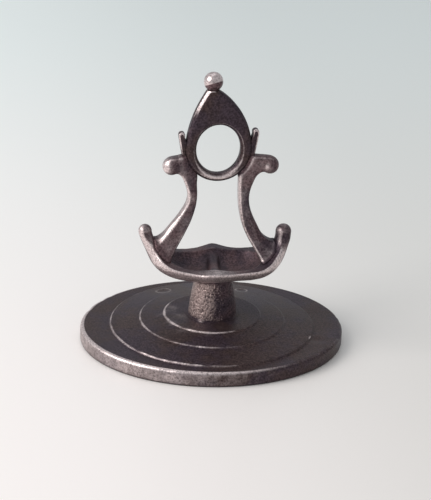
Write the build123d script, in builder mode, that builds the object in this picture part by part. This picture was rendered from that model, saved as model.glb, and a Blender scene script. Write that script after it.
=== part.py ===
from build123d import *
import os
from math import cos, radians, sin, sqrt, tan

# A small hand seal, cast in pieces and brazed together. Millimetres, +Z up, the origin is under the
# middle of the plate. The handle stands in the XZ plane and its front looks towards -Y.

# Seal plate: an oval slab with three turned steps on top and a cut die below
plate_length = 42.0
plate_width = 36.4
rim_height = 2.4
rim_round = 0.55
foot_round = 0.35
outer_step_radius = 16.2
middle_step_radius = 11.5
inner_step_radius = 7.65
outer_step_riser = 0.3
step_riser = 0.2
step_draft = 0.14
tread_slope = 8.3

# Die: a line border, a ring of beads and a plain rosette, all cut into the flat face
die_depth = 0.4
border_inset = 1.8
border_width = 0.7
bead_ring_radius = 13.2
bead_radius = 0.65
bead_count = 28
rosette_radius = 6.2
petal_length = 7.6
petal_width = 2.6
petal_count = 8

# Neck, its hidden peg and the solder at its foot
neck_base_radius = 3.85
neck_top_radius = 2.7
neck_bulge = 0.12
neck_height = 6.3
peg_radius = 1.3
peg_clearance = 0.05
plate_socket_depth = 2.6
cradle_socket_depth = 0.9
neck_sink = 0.7
solder_reach = 0.9
solder_rise = 1.0
solder_hollow = 2.0

# Cradle: a boat-shaped hull whose ends bend up into round horns
cradle_half_width = 6.2
cradle_end_half_width = 5.4
lip_reach = 0.7
lip_rise = 0.3
lip_spread = 2.1
lip_skew = 5.0
hull_depth = 2.65
hull_crown = 0.1
left_horn_reach = 11.25
right_horn_reach = 10.9
left_bend_radius = 7.0
right_bend_radius = 5.2
left_horn_radius = 1.0
right_horn_radius = 1.2
left_horn_angle = 76.0
right_horn_angle = 85.0
left_horn_taper = 1.8
right_horn_taper = 1.7
horn_tip_swell = 0.06
wall = 1.0
ridge_width = 3.0
ridge_flare = 6.0
ridge_dip = 0.45
left_hollow_end_angle = 27.0
right_hollow_end_angle = 18.0
hollow_tip_half_width = 2.6
hollow_tip_depth = 0.5
hollow_crown = 5.0

# Crest: a pear-shaped plate round the oval cord hole, its tip leaning to the left. Its length runs from
# the middle of the hole to the tip. Every rise, here and below, is measured up from the hull's rim line
crest_thickness = 2.0
crest_bevel = 0.45
ring_rise = 18.6
hole_width = 6.9
hole_height = 7.8
ring_radius = 5.15
left_shoulder_rise = 0.5
right_shoulder_rise = 0.1
crest_length = 9.4
crest_tip_lean = 1.1
crest_tip_width = 1.75

# Ball finial with its pin
ball_radius = 1.5
ball_seat_drop = 1.25
pin_radius = 0.4
pin_length = 1.5
pin_clearance = 0.05

# Scroll arms
left_waist_reach = 3.1
left_arm_width = 1.45
left_waist_rise = 10.7
left_knee_spread = 1.45
left_knob_reach = 7.15
right_waist_reach = 3.45
right_arm_width = 1.6
right_waist_rise = 10.2
right_knee_spread = 0.9
right_knob_reach = 8.2
knee_rise = 5.7
left_knee_thickening = 1.5
right_knee_thickening = 0.8
arm_half_depth = 1.05
arm_foot_half_depth = 4.6
arm_flare_rise = 6.7
arm_edge_round = 0.35
face_lean = 0.7
knob_rise = 15.85
knob_radius = 1.42
knob_core_radius = 0.95
hook_spread = 1.75
hook_drop = 1.05
throat_spread = 0.85
throat_drop = 1.9
left_heel_angle = 26.5
right_heel_angle = 20.0
left_toe_angle = 62.0
right_toe_angle = 64.0
left_cut_top_reach = 4.8
left_cut_top_rise = 9.5
left_cut_middle_reach = 7.08
left_cut_middle_rise = 5.4
left_cut_low_reach = 10.5
left_cut_low_rise = 3.0
right_cut_top_reach = 5.15
right_cut_top_rise = 9.1
right_cut_middle_reach = 6.69
right_cut_middle_rise = 4.52
right_cut_low_reach = 10.4
right_cut_low_rise = 2.7
foot_cut_depth = 1.2
foot_cut_slant = 45.0
foot_cut_turn = 45.0
foot_web_half_depth = 0.35
heel_sink = 0.9
toe_sink = 0.3
inner_foot_lean = 0.5
outer_foot_fall = 0.25
throat_lean = 0.4
shoulder_low_angle = 42.0
shoulder_high_angle = 12.0
hook_angle = 247.0
groove_depth = 0.35
groove_width = 0.45
left_tenon_angle = 40.5
right_tenon_angle = 34.0
tenon_radius = 0.5
tenon_length = 1.0
tenon_clearance = 0.05

# Leaf slips beside the crest, measured from the middle of the cord hole
leaf_foot_angle = 14.0
leaf_foot_reach = 5.6
leaf_belly_reach = 5.95
leaf_belly_height = 0.8
left_leaf_height = 2.75
right_leaf_height = 3.15
leaf_tip_reach = 5.75
leaf_shoulder_reach = 6.2
leaf_shoulder_drop = 0.55
leaf_notch_reach = 5.3
leaf_notch_drop = 0.75
leaf_half_depth = 0.7

os.makedirs("parts", exist_ok=True)

# Heights of the turned steps, from the rim inwards
slope = tan(radians(tread_slope))
outer_step_top = rim_height + outer_step_riser
middle_step_foot = outer_step_top + (outer_step_radius - middle_step_radius) * slope
middle_step_top = middle_step_foot + step_riser
inner_step_foot = middle_step_top + (middle_step_radius - inner_step_radius) * slope
neck_seat = inner_step_foot + step_riser

# Heights up the handle
keel_height = neck_seat + neck_height
hull_rim_height = keel_height + hull_depth
ring_height = hull_rim_height + ring_rise
crest_height = ring_height + crest_length
ball_height = crest_height + ball_seat_drop
knee_height = hull_rim_height + knee_rise
arm_flare_height = hull_rim_height + arm_flare_rise
knob_height = hull_rim_height + knob_rise


def by_side(side, left, right):
    """The value for the left side (-1) or the right side (1)."""
    return left if side < 0 else right


def bend_point(side, angle, sink=0.0):
    """Point on the hull's rim line where it has bent up by an angle, sunk into the hull."""
    radius = by_side(side, left_bend_radius, right_bend_radius)
    middle_x = by_side(side, left_horn_reach, right_horn_reach) - radius
    middle_z = hull_rim_height + radius
    reach = radius + sink
    return (side * (middle_x + reach * sin(radians(angle))), middle_z - reach * cos(radians(angle)))


def ring_point(side, angle, radius):
    """Point beside the middle of the cord hole, at an angle down from the level."""
    return (side * radius * cos(radians(angle)), ring_height - radius * sin(radians(angle)))


def hull_face(station, half_width, depth, crown):
    """Cross-section of the hull: upright sides that round into the keel, and a crown above."""
    with BuildSketch(station) as section:
        with BuildLine():
            EllipticalCenterArc((0, 0), half_width, depth, start_angle=180, arc_size=180)
            ThreePointArc((half_width, 0), (0, crown), (-half_width, 0))
        make_face()
    return section.sketch


def hollow_face(station, half_width, depth):
    """Cross-section of the hollow: a shallow dish below and an open crown above."""
    with BuildSketch(station) as section:
        with BuildLine():
            ThreePointArc((-half_width, wall), (0, -depth), (half_width, wall))
            ThreePointArc((half_width, wall), (0, hollow_crown), (-half_width, wall))
        make_face()
    return section.sketch


def bend_station(side, angle):
    """Plane across the hull where its rim line has bent up by an angle."""
    x, z = bend_point(side, angle)
    along = (cos(radians(angle)), 0, side * sin(radians(angle)))
    return Plane(origin=(x, 0, z), x_dir=(0, 1, 0), z_dir=along)


def middle_station(x, rise=0.0):
    """Plane across the middle of the hull, turned by the skew of the two lips."""
    across = (sin(radians(lip_skew)), cos(radians(lip_skew)), 0)
    along = (cos(radians(lip_skew)), -sin(radians(lip_skew)), 0)
    return Plane(origin=(x, 0, hull_rim_height + rise), x_dir=across, z_dir=along)


def hull_end_face(side, angle):
    """Hull section part of the way up the bend, narrowing from the boat to the horn."""
    horn_radius = by_side(side, left_horn_radius, right_horn_radius)
    end_angle = by_side(side, left_horn_angle, right_horn_angle)
    taper = by_side(side, left_horn_taper, right_horn_taper)
    boat_share = cos(radians(90 * angle / end_angle)) ** taper
    half_width = horn_radius + (cradle_end_half_width - horn_radius) * boat_share
    depth = horn_radius + (hull_depth - horn_radius) * boat_share
    crown = horn_radius + (hull_crown - horn_radius) * boat_share
    return hull_face(bend_station(side, angle), half_width, depth, crown)


def tenon_plane(side):
    """Plane square to an arm's tenon, above the hull and inside the arm's foot."""
    tenon_angle = by_side(side, left_tenon_angle, right_tenon_angle)
    x, z = bend_point(side, tenon_angle, -tenon_length)
    inward = (side * sin(radians(tenon_angle)), 0, -cos(radians(tenon_angle)))
    return Plane(origin=(x, 0, z), x_dir=(0, 1, 0), z_dir=inward)


# Seal plate
with BuildPart() as seal_plate:
    with BuildSketch(Plane.XY):
        Ellipse(plate_length / 2, plate_width / 2)
    extrude(amount=rim_height)
    fillet(seal_plate.edges().group_by(Axis.Z)[-1], radius=rim_round)
    fillet(seal_plate.edges().group_by(Axis.Z)[0], radius=foot_round)
    with BuildSketch(Plane.XZ):
        with BuildLine():
            Polyline(
                (0, rim_height / 2),
                (outer_step_radius + step_draft, rim_height / 2),
                (outer_step_radius + step_draft, rim_height),
                (outer_step_radius, outer_step_top),
                (middle_step_radius + step_draft, middle_step_foot),
                (middle_step_radius, middle_step_top),
                (inner_step_radius + step_draft, inner_step_foot),
                (inner_step_radius, neck_seat),
                (0, neck_seat),
                close=True,
            )
        make_face()
    revolve(axis=Axis.Z)
    with Locations((0, 0, neck_seat)):
        Hole(radius=peg_radius + peg_clearance, depth=plate_socket_depth)
    with BuildSketch(Plane.XY):
        Ellipse(plate_length / 2 - border_inset, plate_width / 2 - border_inset)
        Ellipse(
            plate_length / 2 - border_inset - border_width,
            plate_width / 2 - border_inset - border_width,
            mode=Mode.SUBTRACT,
        )
        with PolarLocations(bead_ring_radius, bead_count):
            Circle(bead_radius)
        with PolarLocations(rosette_radius, petal_count):
            Ellipse(petal_length / 2, petal_width / 2)
    extrude(amount=die_depth, mode=Mode.SUBTRACT)
seal_plate.part.label = "seal_plate"
export_step(seal_plate.part, "parts/seal_plate.step")

# Cradle blank: hull, then the hollow on each side of the middle ridge
bend_angles = (70, 45, 20, 0)
lip_half_width = cradle_half_width + lip_reach
hull_faces = [hull_end_face(-1, angle) for angle in (left_horn_angle, *bend_angles)]
hull_faces.append(hull_face(middle_station(-lip_spread), cradle_half_width, hull_depth, hull_crown))
hull_faces.append(hull_face(middle_station(0, lip_rise), lip_half_width, hull_depth + lip_rise, hull_crown))
hull_faces.append(hull_face(middle_station(lip_spread), cradle_half_width, hull_depth, hull_crown))
hull_faces.extend(hull_end_face(1, angle) for angle in (*reversed(bend_angles), right_horn_angle))

hollow_depth = hull_depth - wall
hollow_end_width = cradle_end_half_width - wall
hollow_faces = []
for station, half_width, depth in (
    (bend_station(-1, left_hollow_end_angle), hollow_tip_half_width, hollow_tip_depth),
    (bend_station(-1, 0), hollow_end_width, hollow_depth),
    (middle_station(0), cradle_half_width - wall, hollow_depth),
    (bend_station(1, 0), hollow_end_width, hollow_depth),
    (bend_station(1, right_hollow_end_angle), hollow_tip_half_width, hollow_tip_depth),
):
    hollow_faces.append(hollow_face(station, half_width, depth))

ridge_faces = []
for across in (-1, 0, 1):
    reach = across * lip_half_width
    middle = reach * tan(radians(lip_skew))
    half_width = (ridge_width + abs(across) * ridge_flare) / 2
    ridge_top = hull_rim_height - ridge_dip + abs(across) * (ridge_dip + lip_rise)
    ridge_foot = hull_rim_height - hollow_depth
    crown = (middle, ridge_top)
    with BuildSketch(Plane.XZ.offset(-reach)) as ridge_section:
        with BuildLine():
            Line((middle - half_width, keel_height), (middle + half_width, keel_height))
            for side in (-1, 1):
                foot = (middle + side * half_width, ridge_foot)
                flank = (middle + side * half_width / 2, (ridge_foot + ridge_top) / 2)
                Line((foot[0], keel_height), foot)
                TangentArc(foot, flank, tangent=(-side, 0))
                TangentArc(crown, flank, tangent=(side, 0))
        make_face()
    ridge_faces.append(ridge_section.sketch)

with BuildPart() as cradle_hollow:
    loft(sections=hollow_faces)
    loft(sections=ridge_faces, mode=Mode.SUBTRACT)

with BuildPart() as cradle_blank:
    loft(sections=hull_faces)
    with Locations(bend_station(-1, left_horn_angle).origin):
        Sphere(left_horn_radius + horn_tip_swell)
    with Locations(bend_station(1, right_horn_angle).origin):
        Sphere(right_horn_radius + horn_tip_swell)
    add(cradle_hollow.part, mode=Mode.SUBTRACT)

# Crest: pear outline with the cord hole, bevelled on both faces
tip_left = (-crest_tip_lean - crest_tip_width / 2, crest_height)
tip_right = (-crest_tip_lean + crest_tip_width / 2, crest_height)
left_shoulder = (-sqrt(ring_radius**2 - left_shoulder_rise**2), ring_height + left_shoulder_rise)
right_shoulder = (sqrt(ring_radius**2 - right_shoulder_rise**2), ring_height + right_shoulder_rise)
with BuildPart() as crest_ring:
    with BuildSketch(Plane.XZ):
        with BuildLine():
            ring_arc = ThreePointArc(left_shoulder, (0, ring_height - ring_radius), right_shoulder)
            TangentArc(right_shoulder, tip_right, tangent=ring_arc % 1)
            Line(tip_right, tip_left)
            TangentArc(left_shoulder, tip_left, tangent=-(ring_arc % 0))
        make_face()
        with Locations((0, ring_height)):
            Ellipse(hole_width / 2, hole_height / 2, mode=Mode.SUBTRACT)
    extrude(amount=crest_thickness / 2, both=True)
    face_edges = crest_ring.faces().filter_by(Axis.Y).edges()
    chamfer(face_edges.sort_by(Axis.Z)[:-2], length=crest_bevel)
    with Locations((-crest_tip_lean, 0, crest_height)):
        Hole(radius=pin_radius + pin_clearance, depth=pin_length + pin_clearance)
crest_ring.part.label = "crest_ring"
export_step(crest_ring.part, "parts/crest_ring.step")

# Ball finial: flattened where it sits on the crest's tip, with a pin below
with BuildPart() as ball_finial:
    with Locations((-crest_tip_lean, 0, ball_height)):
        Sphere(ball_radius)
    split(bisect_by=Plane.XY.offset(crest_height), keep=Keep.TOP)
    with BuildSketch(Plane.XY.offset(crest_height)):
        with Locations((-crest_tip_lean, 0)):
            Circle(pin_radius)
    extrude(amount=-pin_length)
ball_finial.part.label = "ball_finial"
export_step(ball_finial.part, "parts/ball_finial.step")


def is_open_edge(edge):
    """Whether an edge of an arm's outline lies in the open, clear of the crest and the hull."""
    middle = edge @ 0.5
    beside_crest = middle.Z > knee_height and abs(middle.X) > ring_radius
    return beside_crest or edge.geom_type == GeomType.BSPLINE


left_foot_cut = (
    (left_cut_top_reach, left_cut_top_rise),
    (left_cut_middle_reach, left_cut_middle_rise),
    (left_cut_low_reach, left_cut_low_rise),
)
right_foot_cut = (
    (right_cut_top_reach, right_cut_top_rise),
    (right_cut_middle_reach, right_cut_middle_rise),
    (right_cut_low_reach, right_cut_low_rise),
)


def foot_cut_face(side, depth):
    """Outline of the slanting cut beside an arm's foot, at a depth from the middle of the arm."""
    shift = (foot_cut_depth - depth) * tan(radians(foot_cut_slant))
    shift_x = side * shift * cos(radians(foot_cut_turn))
    shift_z = shift * sin(radians(foot_cut_turn))
    far = side * plate_length / 2
    top, middle, low = [
        (side * reach + shift_x, hull_rim_height + rise + shift_z)
        for reach, rise in by_side(side, left_foot_cut, right_foot_cut)
    ]
    return top, middle, low, (far, low[1]), (far, top[1])


def scroll_arm(side):
    """C-scroll arm: its foot is coped to the hull, its shoulder to the crest, its end is a knob."""
    waist_reach = by_side(side, left_waist_reach, right_waist_reach)
    waist_height = hull_rim_height + by_side(side, left_waist_rise, right_waist_rise)
    outer_reach = waist_reach + by_side(side, left_arm_width, right_arm_width)
    knee_spread = by_side(side, left_knee_spread, right_knee_spread)
    thickening = by_side(side, left_knee_thickening, right_knee_thickening)
    heel_angle = by_side(side, left_heel_angle, right_heel_angle)
    toe_angle = by_side(side, left_toe_angle, right_toe_angle)
    band_radius = (hole_height / 2 + ring_radius) / 2
    knob = (side * by_side(side, left_knob_reach, right_knob_reach), knob_height)
    knob_top = (knob[0], knob_height + knob_radius)
    knob_side = (knob[0] + side * knob_core_radius, knob_height)
    knob_end = (
        knob[0] + side * knob_core_radius * cos(radians(hook_angle)),
        knob_height + knob_core_radius * sin(radians(hook_angle)),
    )
    hook_top = (side * (outer_reach + hook_spread), knob_height - hook_drop)
    throat = (side * (outer_reach + throat_spread), knob_height - throat_drop)
    foot_height = hull_rim_height - heel_sink
    foot_inner = bend_point(side, heel_angle, heel_sink)
    foot_outer = bend_point(side, toe_angle, toe_sink)
    shoulder_low = ring_point(side, shoulder_low_angle, band_radius)
    shoulder_middle = ring_point(side, (shoulder_low_angle + shoulder_high_angle) / 2, band_radius)
    shoulder_high = ring_point(side, shoulder_high_angle, band_radius)
    inner_knee = (side * (waist_reach + knee_spread), knee_height)
    outer_knee = (side * (outer_reach + knee_spread + thickening), knee_height)
    with BuildPart() as arm:
        with BuildSketch(Plane.XZ):
            with BuildLine():
                Spline(
                    foot_inner,
                    inner_knee,
                    (side * waist_reach, waist_height),
                    shoulder_low,
                    tangents=((-side * inner_foot_lean, 1), (0, 1)),
                )
                ThreePointArc(shoulder_low, shoulder_middle, shoulder_high)
                Line(shoulder_high, knob_top)
                ThreePointArc(knob_top, knob_side, knob_end)
                ThreePointArc(knob_end, hook_top, throat)
                Spline(
                    throat,
                    (side * outer_reach, waist_height),
                    outer_knee,
                    foot_outer,
                    tangents=((-side * throat_lean, -1), (side, -outer_foot_fall)),
                )
                Line(foot_outer, foot_inner)
            make_face()
        extrude(amount=arm_foot_half_depth, both=True)
        with BuildSketch(Plane.YZ):
            with BuildLine():
                TangentArc(
                    (arm_half_depth, arm_flare_height),
                    (arm_foot_half_depth, foot_height),
                    tangent=(0, -1),
                )
                Line((arm_half_depth, arm_flare_height), (arm_half_depth, crest_height))
                Line((arm_half_depth, crest_height), (0, crest_height))
                Line((0, crest_height), (0, foot_height))
                Line((0, foot_height), (arm_foot_half_depth, foot_height))
            make_face()
            mirror(about=Plane.YZ)
        extrude(amount=plate_length, both=True, mode=Mode.INTERSECT)
        front_and_back = arm.faces().filter_by(lambda face: abs(face.normal_at().Y) > face_lean)
        fillet(front_and_back.edges().filter_by(is_open_edge), radius=arm_edge_round)
        for face_side in (-1, 1):
            with BuildSketch(Plane.XZ.offset(face_side * (arm_half_depth - groove_depth))):
                with Locations((0, ring_height)):
                    Circle(ring_radius + groove_width)
            extrude(amount=face_side * 2 * groove_depth, mode=Mode.SUBTRACT)
            for depth in (arm_foot_half_depth + groove_depth, foot_web_half_depth):
                top, middle, low, far_low, far_top = foot_cut_face(side, depth)
                with BuildSketch(Plane.XZ.offset(face_side * depth)):
                    with BuildLine():
                        ThreePointArc(top, middle, low)
                        Polyline(low, far_low, far_top, top)
                    make_face()
            loft(ruled=True, mode=Mode.SUBTRACT)
        with Locations((knob[0], 0, knob[1])):
            Sphere(knob_radius)
        add(cradle_blank.part, mode=Mode.SUBTRACT)
        add(crest_ring.part, mode=Mode.SUBTRACT)
        with BuildSketch(tenon_plane(side)):
            Circle(tenon_radius)
        extrude(amount=2 * tenon_length)
    return arm.part


def leaf_slip(side, arm, leaf_height):
    """Pointed slip that lies along the crest's side and stands on the arm's shoulder."""
    tip_height = ring_height + leaf_height
    inner_foot = ring_point(side, leaf_foot_angle, ring_radius - crest_bevel)
    outer_foot = (side * leaf_foot_reach, inner_foot[1])
    belly = (side * leaf_belly_reach, ring_height + leaf_belly_height)
    shoulder = (side * leaf_shoulder_reach, tip_height - leaf_shoulder_drop)
    tip = (side * leaf_tip_reach, tip_height)
    notch = (side * leaf_notch_reach, tip_height - leaf_notch_drop)
    inner_side = (side * (ring_radius - crest_bevel), ring_height + leaf_belly_height)
    with BuildPart() as leaf:
        with BuildSketch(Plane.XZ):
            with BuildLine():
                Line(inner_foot, outer_foot)
                ThreePointArc(outer_foot, belly, shoulder)
                ThreePointArc(shoulder, tip, notch)
                Line(notch, inner_side)
                Line(inner_side, inner_foot)
            make_face()
        extrude(amount=leaf_half_depth, both=True)
        add(crest_ring.part, mode=Mode.SUBTRACT)
        add(arm, mode=Mode.SUBTRACT)
    return leaf.part


left_arm = scroll_arm(-1)
left_arm.label = "left_arm"
export_step(left_arm, "parts/left_arm.step")
right_arm = scroll_arm(1)
right_arm.label = "right_arm"
export_step(right_arm, "parts/right_arm.step")

left_leaf = leaf_slip(-1, left_arm, left_leaf_height)
left_leaf.label = "left_leaf"
export_step(left_leaf, "parts/left_leaf.step")
right_leaf = leaf_slip(1, right_arm, right_leaf_height)
right_leaf.label = "right_leaf"
export_step(right_leaf, "parts/right_leaf.step")

# Cradle: the blank drilled for the stem peg and the arms' tenons
peg_top = keel_height + cradle_socket_depth
with BuildPart() as cradle:
    add(cradle_blank.part)
    with BuildSketch(Plane.XY.offset(neck_seat)):
        Circle(peg_radius + peg_clearance)
    extrude(amount=peg_top - neck_seat + peg_clearance, mode=Mode.SUBTRACT)
    for tenon_side in (-1, 1):
        with BuildSketch(tenon_plane(tenon_side)):
            Circle(tenon_radius + tenon_clearance)
        extrude(amount=2 * tenon_length + tenon_clearance, mode=Mode.SUBTRACT)
cradle.part.label = "cradle"
export_step(cradle.part, "parts/cradle.step")

# Neck: tapered collar with a slight swell, its top coped to the hull
neck_top = keel_height + neck_sink
with BuildPart() as neck:
    with BuildSketch(Plane.XZ):
        with BuildLine():
            ThreePointArc(
                (neck_base_radius, neck_seat),
                ((neck_base_radius + neck_top_radius) / 2 + neck_bulge, (neck_seat + neck_top) / 2),
                (neck_top_radius, neck_top),
            )
            Polyline(
                (neck_top_radius, neck_top),
                (peg_radius + peg_clearance, neck_top),
                (peg_radius + peg_clearance, neck_seat),
                (neck_base_radius, neck_seat),
            )
        make_face()
    revolve(axis=Axis.Z)
    add(cradle.part, mode=Mode.SUBTRACT)
neck.part.label = "neck"
export_step(neck.part, "parts/neck.step")

# Stem peg: ties plate, neck and cradle together
with BuildPart() as stem_peg:
    with BuildSketch(Plane.XY.offset(neck_seat - plate_socket_depth + peg_clearance)):
        Circle(peg_radius)
    extrude(amount=peg_top - neck_seat + plate_socket_depth - peg_clearance)
stem_peg.part.label = "stem_peg"
export_step(stem_peg.part, "parts/stem_peg.step")

# Solder bead in the corner between the plate and the neck's foot
with BuildPart() as neck_solder_bead:
    with BuildSketch(Plane.XZ):
        with BuildLine():
            Polyline(
                (neck_base_radius - solder_reach, neck_seat + solder_rise),
                (neck_base_radius - solder_reach, neck_seat),
                (neck_base_radius + solder_reach, neck_seat),
            )
            RadiusArc(
                (neck_base_radius + solder_reach, neck_seat),
                (neck_base_radius - solder_reach, neck_seat + solder_rise),
                -solder_hollow,
            )
        make_face()
    revolve(axis=Axis.Z)
    add(neck.part, mode=Mode.SUBTRACT)
neck_solder_bead.part.label = "neck_solder_bead"
export_step(neck_solder_bead.part, "parts/neck_solder_bead.step")
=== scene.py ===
"""Dresses a small tarnished hand seal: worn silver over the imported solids, a pale table and soft light."""

import bpy
import numpy as np
from bpy.props import FloatProperty, FloatVectorProperty, IntProperty, PointerProperty
from bpy.types import Operator, Panel, PropertyGroup
from mathutils import Matrix, Vector
from mathutils.kdtree import KDTree


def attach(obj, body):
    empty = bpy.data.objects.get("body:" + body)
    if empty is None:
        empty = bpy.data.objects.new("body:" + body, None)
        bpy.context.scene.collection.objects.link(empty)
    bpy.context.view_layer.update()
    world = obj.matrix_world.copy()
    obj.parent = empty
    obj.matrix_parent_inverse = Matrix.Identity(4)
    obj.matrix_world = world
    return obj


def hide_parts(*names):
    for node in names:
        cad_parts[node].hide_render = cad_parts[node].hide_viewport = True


bl_info = {
    "name": "Hand Seal Dresser",
    "version": (1, 0, 0),
    "blender": (4, 5, 0),
    "location": "View3D > Sidebar > Hand Seal",
    "description": "Builds the worn surfaces, finishes and table of a small tarnished hand seal",
    "category": "Object",
}

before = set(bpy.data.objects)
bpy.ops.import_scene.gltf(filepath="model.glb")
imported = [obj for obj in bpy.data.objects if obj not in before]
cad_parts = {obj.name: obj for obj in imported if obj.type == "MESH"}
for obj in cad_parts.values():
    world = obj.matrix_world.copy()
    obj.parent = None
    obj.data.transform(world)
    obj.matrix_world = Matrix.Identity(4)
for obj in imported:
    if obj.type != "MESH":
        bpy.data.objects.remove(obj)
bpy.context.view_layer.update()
BODY = "root"
MM = 0.001

# Whole numbers that scatter the random values of the lattice noise
LATTICE_KEYS = np.array([73856093, 19349663, 83492791])
SEED_KEY = 7919
SEED_SHIFT = 31.7
FIRST_SCATTER = np.uint64(0x9E3779B97F4A7C15)
SECOND_SCATTER = np.uint64(0xBF58476D1CE4E5B9)

# Smoothing: the share of the way to its neighbours' mean that a vertex moves in a pass, and the passes
PULL = 0.5
PASSES_PER_CELL = 4
GIRTH_PASSES = 3
BEND_PULL = 0.6
BEND_PASSES = 4
NEIGHBOURS = 4

# Wear: radius of an edge rubbed bare, share of that bend that stays dark, radius of a corner full of painted
# shade
FULL_WEAR = 0.36 * MM
ROUND_SHARE = 0.3
FULL_SHADE = 0.5 * MM
WEAR_POWER = 1.5
EVEN_WEAR = 0.75
# Painted highlight: edges that face the window on the left are made brighter
LEFT_HIGHLIGHT = 0.35

# Joints and the slow waves of hand work
JOINT_GRID = 0.13 * MM
JOINT_REACH = 0.55 * MM
CRISP_BLEND = 3 * MM
WAVE_CELL = 2.6 * MM
RIPPLE_CELL = 0.8 * MM
RIPPLE_SHARE = 0.4

# Finish: reach of the shade in corners, tints of deep tarnish and of the painted shade in corners, depth of
# the lathe's lines
SHADE_REACH = 1.6 * MM
DEEP_TINT = (0.55, 0.5, 0.52, 1)
CORNER_SHADE_TINT = (0.3, 0.28, 0.28, 1)
LATHE_LINE_DEPTH = 0.02 * MM

# Mesh of the plate: points round it, rings over each stretch, places, and slopes of the die's cuts
AROUND = 420
TREAD_RINGS = 44
STEP_RINGS = 11
BRIM_RINGS = 24
SIDE_RINGS = 9
FACE_RINGS = 112
STEP_BEFORE = 0.3 * MM
STEP_AFTER = 0.45 * MM
BRIM_START = 0.9 * MM
TREAD_BLUR = 0.2 * MM
BLUR_SAMPLES = 21
SOCKET_RADIUS = 1.35 * MM
SOCKET_FLOOR = 1.75 * MM
RIM_ANGLES = np.radians((15, 30, 45, 60, 75, 90))
FOOT_ANGLES = np.radians((22, 45, 67, 90))
INNERMOST = 0.004
LINE_SLOPE = 2.2
HOLLOW_SLOPE = 1.5

# Wear of the plate with a painted highlight on its lit left side, the ways in which it is painted dark and
# given a painted sheen, and the blank dents: across, along, reach
STEP_WEAR = 0.38
STEP_WEAR_REACH = 0.18 * MM
BRIM_WEAR = 0.5
RIM_WEAR = 0.36
FACE_WEAR = 0.1
LEAST_WEAR = 0.32
ADDED_WEAR_AND_HIGHLIGHT = 1.15
DARK_WAY = (0.97, 0.25)
SHEEN = 0.42
SHEEN_WAY = (-0.8, -0.6)
DENT_WEAR = 0.5
DENT_EDGE = 0.25 * MM
DENTS = (
    (-6.4 * MM, 12.3 * MM, 1.0 * MM),
    (6.6 * MM, 11.6 * MM, 0.8 * MM),
    (15.7 * MM, -7.3 * MM, 0.9 * MM),
)

# Knocks in the rim: seed, strength, reach in millimetres and limit; and the part of the top that waves
NICK_SEED = 5
NICK_STRENGTH = (0.3, 1.0)
NICK_REACH = (0.35, 0.8)
NICK_LIMIT = 1.3
WAVY_PART = 0.97

# Solder at the neck's foot: points round it, rings, width, uneven edge in millimetres, drop on the left
SOLDER_AROUND = 240
SOLDER_RINGS = 25
SOLDER_WIDTH = 1.75 * MM
SOLDER_FALL = 2.2
EDGE_SHORT = 0.3
EDGE_SWING = 0.2
EDGE_MARGIN = 0.35 * MM
DROP = np.array((-2.2, -3.35, 4.8)) * MM
DROP_REACH = 0.8 * MM
DROP_HEIGHT = 0.22 * MM
DROP_WEAR = 0.75

# Arms: reach of the shade at the cradle and at the crest, height of the braze, and the crisp foot
FOOT_JOINT = 0.4 * MM
CREST_JOINTS = {"left": 0.8 * MM, "right": 0.5 * MM}
BRAZE = 0.2 * MM
CRISP_BELOW = 19.5 * MM

# Stretches over which the handle's wear and painted light change: towards the front, the left, and up or
# down
LIP_DEPTH = (0.0, 0.5 * MM)
LIP_LEFT = (-9.0 * MM, 3.0 * MM)
LIP_TOP = (14.5 * MM, 17.5 * MM)
RIDGE_DEPTH = (0.5 * MM, 5.5 * MM)
HORN_SIDE = (9.0 * MM, 11.0 * MM)
HORN_FOOT = (15.0 * MM, 17.0 * MM)
FAR_LEFT = (8.0 * MM, 10.0 * MM)
CREST_TIP = (36 * MM, 40 * MM)
CREST_FACE = (30 * MM, 34 * MM)
CREST_FOOT = (-30.5 * MM, -28.0 * MM)
HOLE_LIP = 0.4 * MM
HOLE_LIP_REACH = 0.2 * MM

# Lamps: place, width and height, tint
WINDOW = ((-0.55, -0.12, 0.42), (0.5, 0.45), (1.0, 0.97, 0.95))
CEILING = ((-0.05, 0.2, 0.8), (0.6, 0.6), (0.95, 0.98, 1.0))
LAMP_AIM = Vector((0, 0, 0.02))

# Table: half its side, and where its painted tones of light and its painted glow change
TABLE_REACH = 3.0
TABLE_DEPTH = (-0.05, 0.22)
TABLE_SIDE = (-0.03, 0.05)
GLOW_SIDE = (-0.06, 0.05)
GLOW = (0.16, 0.02)

# Camera: width of its film and the nearest thing that it shows
SENSOR_WIDTH = 36.0
NEAREST_SEEN = 0.01


def metres(name, description, default):
    """A length setting."""
    return FloatProperty(name=name, description=description, default=default, unit="LENGTH")


def degrees(name, description, default):
    """An angle setting, kept in radians."""
    return FloatProperty(
        name=name, description=description, default=np.radians(default), subtype="ANGLE"
    )


def tint(name, description, default):
    """A colour setting."""
    return FloatVectorProperty(
        name=name, description=description, default=default, subtype="COLOR", min=0, max=1
    )


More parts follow.
